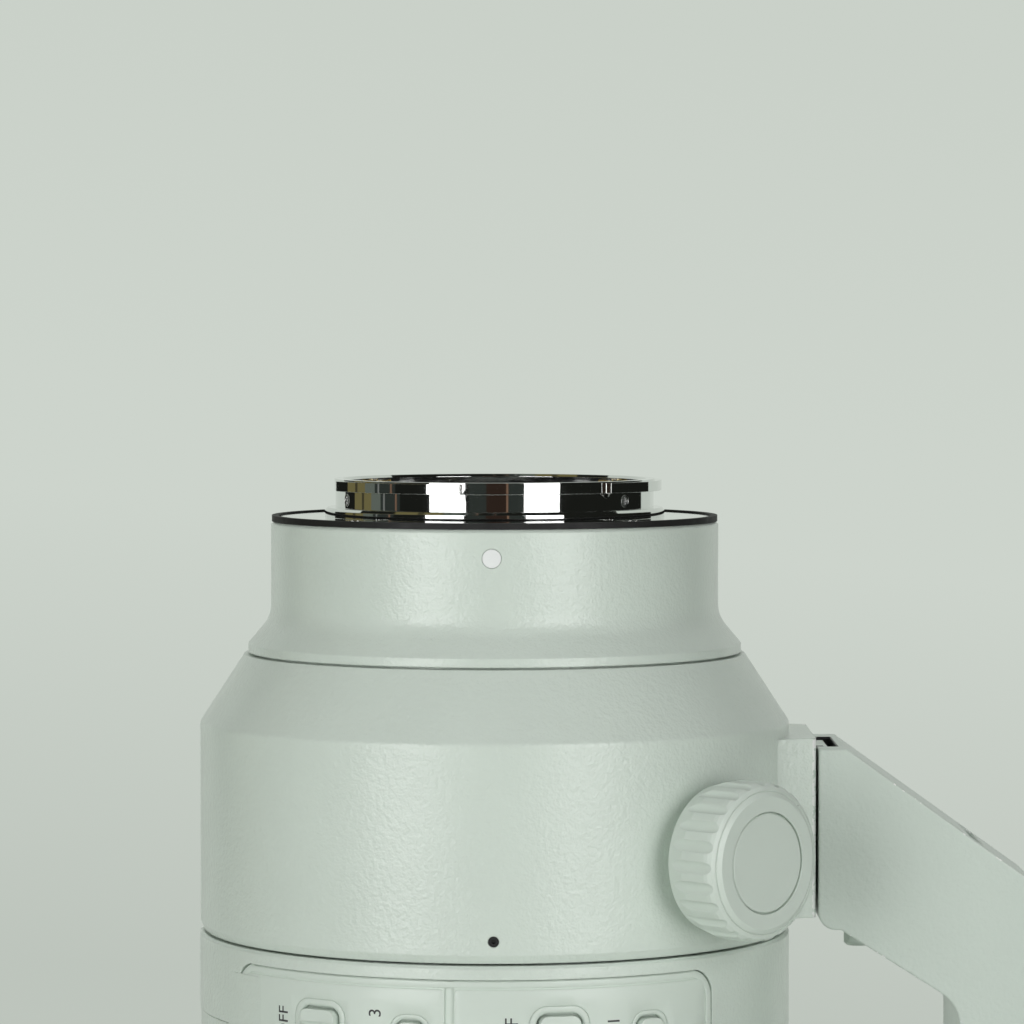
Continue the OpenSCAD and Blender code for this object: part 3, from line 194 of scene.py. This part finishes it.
def dark(name, colour, roughness, grain, depth):
    """Black plastic, rubber or coated metal with a moulded grain of that size and depth, and a little dust."""
    s = Shader(name)
    dust = s.span(s.noise(0.5, 4.0), 0.68, 0.8)
    tone = s.tint(s.span(s.noise(9.0, 3.0), *MOST), rgb(*colour), times(colour, 1.5))
    s.feed("Base Color", s.tint(dust, tone, rgb(*[c * 2.2 + 0.01 for c in colour])))
    s.feed("Roughness", s.span(s.noise(2.0, 3.0), *MOST, roughness - 0.06, roughness + 0.08))
    s.bump(s.noise(grain, 3.0), depth)
    return s.material


def glass(name, film):
    """Coated optical glass: the film's thickness in nanometres sets the colour of its reflections."""
    s = Shader(name, Transmission_Weight=1.0, IOR=1.6, Thin_Film_Thickness=film, Thin_Film_IOR=1.38)
    s.feed("Base Color", rgb(0.95, 0.98, 0.96))
    s.feed("Roughness", s.span(s.noise(1.5, 4.0), 0.62, 0.8, 0.0, 0.03))
    return s.material


def board(name):
    """Green solder mask with pale tracks."""
    s = Shader(name, Roughness=0.4)
    cells = s.node("ShaderNodeTexBrick", {
        "Vector": s.place, "Scale": 220.0, "Mortar Size": 0.08, "Color1": rgb(0.01, 0.07, 0.03),
        "Color2": rgb(0.015, 0.10, 0.045), "Mortar": rgb(0.05, 0.18, 0.09)})
    s.feed("Base Color", cells)
    s.bump(s.noise(0.4, 2.0), 0.02)
    return s.material


LACQUER = (0.704, 0.784, 0.712)
# The lacquer darkened for the foot: painted shade
FOOT_LACQUER_PAINTED_SHADE = (0.625, 0.700, 0.637)
# Bare alloy at worn edges, in near white: partly the metal's own colour, partly a painted highlight of bare
# metal
BARE_ALLOY_AND_HIGHLIGHT = (0.95, 0.96, 0.94)
FLAT = {"peel": 0.012, "fine": 0.006, "roughness": 0.42}
look = {
    "paint": paint("lacquer_hammered", LACQUER, peel=0.085, fine=0.050, roughness=0.40, coat=0.60,
                   edge=0.3, wear=0.78),
    "collar": paint("lacquer_collar", LACQUER, peel=0.095, fine=0.042, roughness=0.40, coat=0.50,
                    edge=0.4, wear=0.45, bare=BARE_ALLOY_AND_HIGHLIGHT, rubbed=(0.0474, 0.0110)),
    "foot": paint("lacquer_foot_painted_shade", FOOT_LACQUER_PAINTED_SHADE, peel=0.075, fine=0.035, roughness=0.42, coat=0.35,
                  edge=0.6, wear=0.62, bare=BARE_ALLOY_AND_HIGHLIGHT, shaded_slot=(0.0516, 0.0084)),
    "smooth": paint("lacquer_smooth", LACQUER, **FLAT, coat=0.20, edge=0.1, wear=0.74),
    "slider": paint("lacquer_slider", LACQUER, **FLAT, coat=0.20, edge=0.25, wear=0.74),
    "knob": paint("lacquer_knob", LACQUER, **FLAT, coat=0.25, edge=0.2, wear=0.69),
    "mount_chrome": metal("bayonet_chrome", (0.80, 0.81, 0.80), roughness=0.03, depth=0.0005, lathe=True),
    "screw_steel": metal("screw_steel", (0.66, 0.67, 0.66), roughness=0.16, depth=0.002, lathe=False),
    "gasket_rubber": dark("gasket_rubber", (0.004, 0.004, 0.004), roughness=0.60, grain=0.30, depth=0.010),
    "grip_rubber": dark("grip_rubber", (0.018, 0.018, 0.019), roughness=0.62, grain=0.22, depth=0.020),
    "black_plastic": dark("black_plastic", (0.014, 0.014, 0.015), roughness=0.50, grain=0.30, depth=0.015),
    "black_metal": dark("black_anodised", (0.016, 0.016, 0.017), roughness=0.38, grain=0.12, depth=0.006),
    "inner_alloy": metal("inner_alloy", (0.34, 0.34, 0.36), roughness=0.30, depth=0.002, lathe=True),
    "contact_brass": metal("contact_brass", (0.80, 0.60, 0.24), roughness=0.18, depth=0.001, lathe=False),
    "lens_glass": glass("coated_glass", film=480.0),
    "circuit_board": board("solder_mask"),
    "index_white": paint("index_enamel", (0.93, 0.95, 0.94), peel=0.002, fine=0.002, roughness=0.30,
                         coat=0.3, edge=0.1, wear=0.9),
}
own_look = {
    "collar_ring": "collar", "tripod_foot": "foot", "foot_release_button": "foot",
    "lock_knob": "knob", "knob_cap": "knob", "switch_panel": "smooth",
    "focus_mode_switch": "slider", "focus_limit_switch": "slider",
    "stabiliser_switch": "slider", "stabiliser_mode_switch": "slider",
    "hold_button_top": "slider", "hold_button_near": "slider", "hold_button_far": "slider",
}
slot_of = {part["node"]: part["material_slot"] for part in frame["record"]["subparts"]}
for name, obj in nodes.items():
    obj.data.materials.clear()
    obj.data.materials.append(look[own_look.get(name, slot_of[name])])


# Switch panel, on a sheet that is unrolled at PANEL_R: u runs round the barrel, v up it, in millimetres

Box = namedtuple("Box", "u0 v0 u1 v1")
Window = namedtuple("Window", "turn width length drop band")

PANEL_MID = -96.0           # azimuth of the panel's middle, in degrees
PANEL_R = 44.30             # the solid panel's face
FACE_R = 44.50              # face of the plates on it
SEAT_R = PANEL_R - 0.02     # where the trim stands in the solid panel
PANEL_HALF = math.radians(51) * PANEL_R
PANEL_BOX = Box(-PANEL_HALF, 104.2, PANEL_HALF, 140.2)
PANEL_CORNER = 4.0
RIM_WIDTH = 1.25
RIM_PROFILE = [(0.10, SEAT_R), (0.10, 44.58), (0.18, 44.63), (0.96, 44.47), (1.04, SEAT_R)]
DIVIDER = math.radians(-2.2) * PANEL_R
DIVIDER_HALF = 0.66
PLATE_EDGE = 0.18
PLATE_CORNER = 0.7
GRID_U = 1.2                # spacing of the points that let a plate follow the barrel
GRID_V = 3.0
GRID_CLEAR = 0.5            # and their distance from its edges
WIDE = {"width": 6.8, "length": 11.0, "drop": 4.7, "band": 1.1}
NARROW = {"width": 4.6, "length": 10.0, "drop": 5.7, "band": 0.8}
WINDOWS = [Window(-28.4, **WIDE), Window(-9.6, **NARROW), Window(18.3, **WIDE), Window(36.3, **NARROW)]
WINDOW_CORNER = 1.6
LEAST_CORNER = 0.05
CORNER_STEPS = 8
EDGE_STEP_U = 1.2
EDGE_STEP_V = 2.5
TRIM_SHARP = 50             # edges of the trim beyond this angle are sharp
INK_SHARP = 40
LABEL_SIZE = 2.7
LABEL_DEPTH = 0.008
LABEL_LIFT = 0.006
LABELS = [("OFF", -28.7, 132.6), ("ON", -28.7, 126.4), ("3", -12.6, 135.2), ("10", -12.6, 130.4),
          ("OFF", 7.3, 132.6), ("ON", 7.3, 126.4), ("1", 22.3, 134.0), ("2", 22.3, 130.0)]
END_SECTION = [(-42.4, 44.60), (-40.4, 44.657), (-39.6, 44.66), (-38.4, 44.645), (-37.0, 44.60),
               (-35.6, 44.545), (-34.4, 44.512), (-33.2, 44.49), (-33.2, 44.40)]
END_FOOT = 105.4
END_TALL = 33.2
END_ROWS = 16


def wrap(u, v, r):
    """Point of the unrolled sheet at radius r, in metres."""
    turn = math.radians(PANEL_MID) + u / PANEL_R
    return (r * math.cos(turn) * MM, r * math.sin(turn) * MM, v * MM)


def outline(box, corner, inset):
    """Points round a rounded box on the sheet, moved inward by inset."""
    u0, v0, u1, v1 = (box.u0 + inset, box.v0 + inset, box.u1 - inset, box.v1 - inset)
    r = max(corner - inset, LEAST_CORNER)
    across = max(2, round((box.u1 - box.u0) / EDGE_STEP_U))
    along = max(2, round((box.v1 - box.v0) / EDGE_STEP_V))
    corners = [(u1 - r, v0 + r, -90), (u1 - r, v1 - r, 0), (u0 + r, v1 - r, 90), (u0 + r, v0 + r, 180)]
    points = []
    for i, (cu, cv, start) in enumerate(corners):
        for step in range(CORNER_STEPS + 1):
            turn = math.radians(start + 90 * step / CORNER_STEPS)
            points.append((cu + r * math.cos(turn), cv + r * math.sin(turn)))
        last_u, last_v = points[-1]
        next_u, next_v, next_start = corners[(i + 1) % 4]
        turn = math.radians(next_start)
        goal_u, goal_v = next_u + r * math.cos(turn), next_v + r * math.sin(turn)
        parts = along if i % 2 == 0 else across
        for step in range(1, parts):
            share = step / parts
            points.append((last_u + (goal_u - last_u) * share, last_v + (goal_v - last_v) * share))
    return points


def add_strip(mesh, box, corner, profile):
    """Adds a closed strip round a rounded box; profile lists its inset and radius from outside in."""
    rings = [[mesh.verts.new(wrap(u, v, r)) for u, v in outline(box, corner, inset)] for inset, r in profile]
    for outer, inner in zip(rings, rings[1:]):
        count = len(outer)
        for i in range(count):
            following = (i + 1) % count
            mesh.faces.new((outer[i], outer[following], inner[following], inner[i]))


def inside(box, corner, inset, u, v):
    """Whether a point of the sheet lies in a rounded box that is moved inward by inset."""
    r = max(corner - inset, LEAST_CORNER)
    du = max(box.u0 + inset + r - u, u - box.u1 + inset + r, 0)
    dv = max(box.v0 + inset + r - v, v - box.v1 + inset + r, 0)
    return math.hypot(du, dv) <= r + 1e-6


def finish_piece(name, mesh, body, material, sharp):
    """Makes an object of a bmesh, smooth apart from its sharp edges, that rides on a body."""
    bmesh.ops.remove_doubles(mesh, verts=mesh.verts, dist=0.0005 * MM)
    bmesh.ops.recalc_face_normals(mesh, faces=mesh.faces)
    data = bpy.data.meshes.new(name)
    mesh.to_mesh(data)
    mesh.free()
    data.shade_smooth()
    data.set_sharp_from_angle(angle=math.radians(sharp))
    data.materials.append(material)
    obj = bpy.data.objects.new(name, data)
    bpy.context.scene.collection.objects.link(obj)
    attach(obj, body)


def window_box(window):
    mid = math.radians(window.turn) * PANEL_R
    top = PANEL_BOX.v1 - window.drop
    return Box(mid - window.width / 2, top - window.length, mid + window.width / 2, top)


def panel_plate(name, u0, u1):
    """One raised plate of the switch panel between u0 and u1, with an opening round each window frame."""
    box = Box(u0, PANEL_BOX.v0 + RIM_WIDTH, u1, PANEL_BOX.v1 - RIM_WIDTH)
    holes = [(window_box(w), w.band) for w in WINDOWS if u0 < math.radians(w.turn) * PANEL_R < u1]

    def in_plate(u, v, margin=0.0):
        if not inside(box, PLATE_CORNER, PLATE_EDGE + margin, u, v):
            return False
        return not any(inside(hole, WINDOW_CORNER, -band - margin, u, v) for hole, band in holes)

    mesh = bmesh.new()
    add_strip(mesh, box, PLATE_CORNER, [(0.0, SEAT_R), (0.03, FACE_R - 0.08), (PLATE_EDGE, FACE_R)])
    loops = [outline(box, PLATE_CORNER, PLATE_EDGE)]
    for hole, band in holes:
        add_strip(mesh, hole, WINDOW_CORNER,
                  [(-band, FACE_R), (-band + 0.06, FACE_R - 0.05), (-band + 0.08, SEAT_R)])
        loops.append(outline(hole, WINDOW_CORNER, -band))
    points, edges = [], []
    for loop in loops:
        start = len(points)
        points += loop
        edges += [(start + i, start + (i + 1) % len(loop)) for i in range(len(loop))]
    u = box.u0 + GRID_U
    while u < box.u1:
        v = box.v0 + GRID_V / 2
        while v < box.v1:
            if in_plate(u, v, GRID_CLEAR):
                points.append((u, v))
            v += GRID_V
        u += GRID_U
    flat, _, triangles = geometry.delaunay_2d_cdt([Vector(p) for p in points], edges, [], 0, 1e-5)[:3]
    verts = [mesh.verts.new(wrap(p.x, p.y, FACE_R)) for p in flat]
    for triangle in triangles:
        mid_u = sum(flat[i].x for i in triangle) / 3
        mid_v = sum(flat[i].y for i in triangle) / 3
        if in_plate(mid_u, mid_v):
            mesh.faces.new([verts[i] for i in triangle])
    finish_piece(name, mesh, "barrel", look["smooth"], TRIM_SHARP)


def panel_rim():
    """Raised border of the switch panel, sloping down to its plates."""
    mesh = bmesh.new()
    add_strip(mesh, PANEL_BOX, PANEL_CORNER, RIM_PROFILE)
    finish_piece("panel_rim", mesh, "barrel", look["smooth"], TRIM_SHARP)


def window_frames():
    """Rounded frames round the four switch windows, sloping in to the sliders."""
    mesh = bmesh.new()
    for window in WINDOWS:
        outer = -window.band
        add_strip(mesh, window_box(window), WINDOW_CORNER,
                  [(0.12 + outer, SEAT_R), (0.13 + outer, 44.46), (0.24 + outer, 44.53), (-0.40, 44.50),
                   (-0.10, 44.42), (0.0, 44.28), (0.02, 43.9)])
    finish_piece("window_frames", mesh, "barrel", look["smooth"], TRIM_SHARP)


def panel_end():
    """Skin that runs from the barrel down to the panel's left plate, over the border there."""
    heights = [END_FOOT + END_TALL * i / END_ROWS for i in range(END_ROWS + 1)]
    mesh = bmesh.new()
    rows = [[mesh.verts.new(wrap(u, v, r)) for u, r in END_SECTION] for v in heights]
    for row, above in zip(rows, rows[1:]):
        for i in range(len(END_SECTION)):
            following = (i + 1) % len(END_SECTION)
            mesh.faces.new((row[i], row[following], above[following], above[i]))
    mesh.faces.new(rows[0])
    mesh.faces.new(rows[-1])
    finish_piece("panel_end", mesh, "barrel", look["paint"], TRIM_SHARP)


def labels():
    """Plain switch labels, printed on the panel and read from front to rear."""
    ink = dark("label_ink", (0.03, 0.032, 0.032), roughness=0.55, grain=0.2, depth=0.004)
    for index, (word, mid_u, mid_v) in enumerate(LABELS):
        curve = bpy.data.curves.new("label", "FONT")
        curve.body = word
        curve.size = LABEL_SIZE
        curve.align_x = "CENTER"
        curve.align_y = "CENTER"
        curve.extrude = LABEL_DEPTH
        source = bpy.data.objects.new("label", curve)
        bpy.context.scene.collection.objects.link(source)
        flat = bpy.data.meshes.new_from_object(source.evaluated_get(bpy.context.evaluated_depsgraph_get()))
        mesh = bmesh.new()
        mesh.from_mesh(flat)
        bpy.data.objects.remove(source)
        for vert in mesh.verts:
            vert.co = wrap(mid_u - vert.co.y, mid_v + vert.co.x, FACE_R + LABEL_LIFT + vert.co.z)
        finish_piece(f"label_{index + 1}_{word.lower()}", mesh, "barrel", ink, INK_SHARP)


panel_plate("panel_plate_left", PANEL_BOX.u0 + RIM_WIDTH, DIVIDER - DIVIDER_HALF)
panel_plate("panel_plate_right", DIVIDER + DIVIDER_HALF, PANEL_BOX.u1 - RIM_WIDTH)
panel_rim()
window_frames()
panel_end()
labels()


# Studio, in metres

CAMERA_PLACE = (0.00263, -0.6808, 0.23115)
CAMERA_TILT = 0.038         # radians below level
CAMERA_LENS = 158.13
AIM = Vector((0.0, 0.0, 0.16))
PAPER_SIDES = (-0.95, 1.27)
FLOOR_START, FLOOR_END = -1.5, 2.1
SWEEP_RADIUS = 0.5
SWEEP_STEPS = 16
WALL_TOP = 1.6
FLOOR_GLOW = 0.5            # share of the floor's own glow near the object, so that its shadow stays
GLOW_START, GLOW_FULL = 0.2, 0.6
TONE_Y, TONE_Z = 0.681, 0.231
TONE_TILT = 0.1
LOW_SLOPES = (-0.148, -0.043)
HIGH_SLOPES = (-0.018, 0.073)
LOW_TONE = (0.510, 0.555, 0.505)
MIDDLE_TONE = (0.610, 0.658, 0.604)
HIGH_TONE = (0.590, 0.637, 0.583)


def paper():
    """Pale paper that glows where the camera or a mirror sees it, its glow graded by slope, and keeps the
    object's shadow.
    """
    s = Shader("backdrop_paper", Roughness=0.9)
    x, y, z = s.split(s.place)
    mottle = s.span(s.noise(60.0, 2.0), *MOST)
    s.feed("Base Color", s.tint(mottle, rgb(0.78, 0.83, 0.77), rgb(0.80, 0.85, 0.79)))
    rays = s.rays()
    seen = s.maths("MULTIPLY", rays["Is Camera Ray"], s.span(y, GLOW_START, GLOW_FULL, FLOOR_GLOW, 1.0))
    mirrored = s.maths("MULTIPLY", rays["Is Glossy Ray"], s.span(y, GLOW_START, GLOW_FULL))
    # The tone is fixed on the paper: it goes by the slope from where the photo was taken, and to the right
    rise = s.maths("MULTIPLY_ADD", x, TONE_TILT, s.maths("SUBTRACT", z, TONE_Z))
    slope = s.maths("DIVIDE", rise, s.maths("ADD", s.maths("MAXIMUM", y, 0.0), TONE_Y))
    low = s.tint(s.span(slope, *LOW_SLOPES), rgb(*LOW_TONE), rgb(*MIDDLE_TONE))
    glow = s.tint(s.span(slope, *HIGH_SLOPES), low, rgb(*HIGH_TONE))
    emit = s.node("ShaderNodeEmission", {"Color": glow, "Strength": 1.0})
    share = s.maths("MAXIMUM", seen, mirrored)
    both = s.node("ShaderNodeMixShader", {0: share, 1: s.main.outputs[0], 2: emit})
    s.join(both, s.tree.nodes["Material Output"].inputs["Surface"])
    return s.material


def stage():
    """Floor that sweeps up into a backdrop well behind the object."""
    sweep = [(FLOOR_START, 0.0), (0.0, 0.0), (FLOOR_END, 0.0)]
    for i in range(1, SWEEP_STEPS + 1):
        turn = math.pi / 2 * i / SWEEP_STEPS
        sweep.append((FLOOR_END + SWEEP_RADIUS * math.sin(turn), SWEEP_RADIUS * (1 - math.cos(turn))))
    sweep.append((FLOOR_END + SWEEP_RADIUS, WALL_TOP))
    points = [(x, y, z) for y, z in sweep for x in PAPER_SIDES]
    faces = [(2 * i, 2 * i + 1, 2 * i + 3, 2 * i + 2) for i in range(len(sweep) - 1)]
    mesh = bpy.data.meshes.new("backdrop")
    mesh.from_pydata(points, [], faces)
    mesh.shade_smooth()
    obj = bpy.data.objects.new("backdrop", mesh)
    bpy.context.scene.collection.objects.link(obj)
    obj.data.materials.append(paper())


def softbox(name, azimuth, height, distance, width, tall, power, mirrored=True, colour=(1.0, 1.0, 1.0)):
    """Soft light at that azimuth from the camera's side, aimed at the lens's rear half."""
    data = bpy.data.lights.new(name, "AREA")
    data.shape = "RECTANGLE"
    data.size = width
    data.size_y = tall
    data.energy = power
    data.color = colour
    obj = bpy.data.objects.new(name, data)
    turn = math.radians(azimuth)
    obj.location = AIM + Vector((distance * math.sin(turn), -distance * math.cos(turn), height - AIM.z))
    obj.rotation_euler = (AIM - obj.location).to_track_quat("-Z", "Y").to_euler()
    obj.visible_glossy = mirrored
    bpy.context.scene.collection.objects.link(obj)


GLOOM = (0.050, 0.053, 0.050)
BLACK, SLATE, BROWN = (0.011, 0.012, 0.010), (0.030, 0.036, 0.032), (0.030, 0.019, 0.014)
OLIVE, MOSS, SAGE = (0.16, 0.14, 0.06), (0.055, 0.05, 0.028), (0.12, 0.14, 0.12)
COPPER, GREY, PALE = (0.20, 0.12, 0.08), (0.20, 0.21, 0.20), (0.58, 0.63, 0.575)
# What mirrors see of the room: the azimuth in degrees where each tone starts
ROOM_BANDS = (
    (-180, PALE), (-139, BLACK), (-122, OLIVE), (-112, MOSS), (-109, OLIVE), (-100, SAGE), (-90, SLATE),
    (-88, GREY), (-86.5, SLATE), (-77, COPPER), (-75.5, SLATE), (-72, BLACK), (-19, SLATE), (-7, COPPER),
    (-6, BROWN), (8.4, COPPER), (9.6, SLATE), (21, BLACK), (83, GREY), (84, BLACK), (131, PALE))


def room():
    """Even grey surroundings; mirrors see a dark room with a curtain and a few upright posts."""
    world = bpy.data.worlds.new("studio")
    bpy.context.scene.world = world
    world.use_nodes = True
    w = Nodes(world.node_tree)
    x, y = w.split(w.node("ShaderNodeTexCoord", {}, out="Generated"))[:2]
    turn = w.maths("ARCTAN2", x, w.maths("MULTIPLY", y, -1.0))
    mirror = w.node("ShaderNodeValToRGB", {0: w.span(turn, -math.pi, math.pi)}, out="Color")
    ramp = mirror.node.color_ramp
    ramp.interpolation = "CONSTANT"
    while len(ramp.elements) < len(ROOM_BANDS):
        ramp.elements.new(1.0)
    for stop, (start, tone) in zip(ramp.elements, ROOM_BANDS):
        stop.position = (start + 180) / 360
        stop.color = rgb(*tone)
    rays = w.rays()
    colour = w.tint(rays["Is Glossy Ray"], rgb(*GLOOM), mirror)
    colour = w.tint(rays["Is Camera Ray"], colour, rgb(*PALE))
    w.join(colour, w.tree.nodes["Background"].inputs["Color"])


def camera():
    data = bpy.data.cameras.new("camera")
    data.sensor_width = 36.0
    data.lens = CAMERA_LENS
    data.clip_start = 0.01
    data.clip_end = 20.0
    obj = bpy.data.objects.new("camera", data)
    obj.location = CAMERA_PLACE
    obj.rotation_euler = (math.pi / 2 - CAMERA_TILT, 0.0, 0.0)
    bpy.context.scene.collection.objects.link(obj)
    bpy.context.scene.camera = obj


stage()
softbox("softbox_left", azimuth=-33.5, height=0.36, distance=1.3, width=0.62, tall=0.75, power=6.15)
softbox("softbox_right", azimuth=34.0, height=0.42, distance=1.3, width=0.62, tall=0.9, power=6.5)
softbox("fill_left", azimuth=-101.0, height=0.4, distance=1.5, width=0.9, tall=0.9, power=2.85,
        mirrored=False, colour=(0.97, 1.0, 0.94))
softbox("fill_back", azimuth=180.0, height=0.9, distance=1.4, width=1.0, tall=1.0, power=7.5, mirrored=False)
softbox("fill_top", azimuth=0.0, height=1.6, distance=0.3, width=1.2, tall=1.2, power=3.3, mirrored=False)
room()
camera()
bpy.context.scene.view_settings.view_transform = "Standard"
